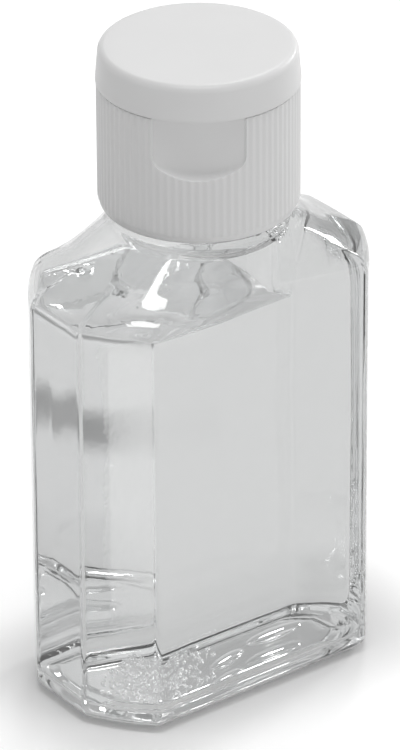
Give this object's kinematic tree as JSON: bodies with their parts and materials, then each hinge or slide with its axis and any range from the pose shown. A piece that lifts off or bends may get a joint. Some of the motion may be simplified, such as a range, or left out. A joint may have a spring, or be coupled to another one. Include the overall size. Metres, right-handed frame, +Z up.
{
  "type": "hand sanitizer bottle",
  "caption": "Clear pocket bottle of hand gel with chamfered corners and a white ribbed screw cap, whose round lid flips open on a hinge web.",
  "frame": {"origin": "centre of the bounding box at its bottom, on the surface that the bottle stands on and on the axis of the neck", "axes": "+Z up along the neck, wide front face towards -Y, +X to the right along the width"},
  "size_m": [0.0436, 0.0252, 0.084],
  "materials": {
    "clear_bottle": "clear, glossy, blown",
    "clear_gel": "clear gel",
    "white_cap": "white, satin, moulded",
    "white_lid": "white, satin, moulded"
  },
  "bodies": {
    "bottle": {"bottle": "clear_bottle", "gel": "clear_gel"},
    "cap": {"cap_base": "white_cap"},
    "lid": {"cap_lid": "white_lid"}
  },
  "joints": [
    {"name": "cap_turn", "type": "hinge", "parent": "bottle", "child": "cap", "pos_m": [0, 0, 0.0633], "axis": [0, 0, 1], "range_deg": [0, 540]},
    {"name": "lid_flip", "type": "hinge", "parent": "cap", "child": "lid", "pos_m": [0.00711, 0.00943, 0.07938], "axis": [-0.7986, 0.6018, 0], "range_deg": [0, 150]}
  ]
}
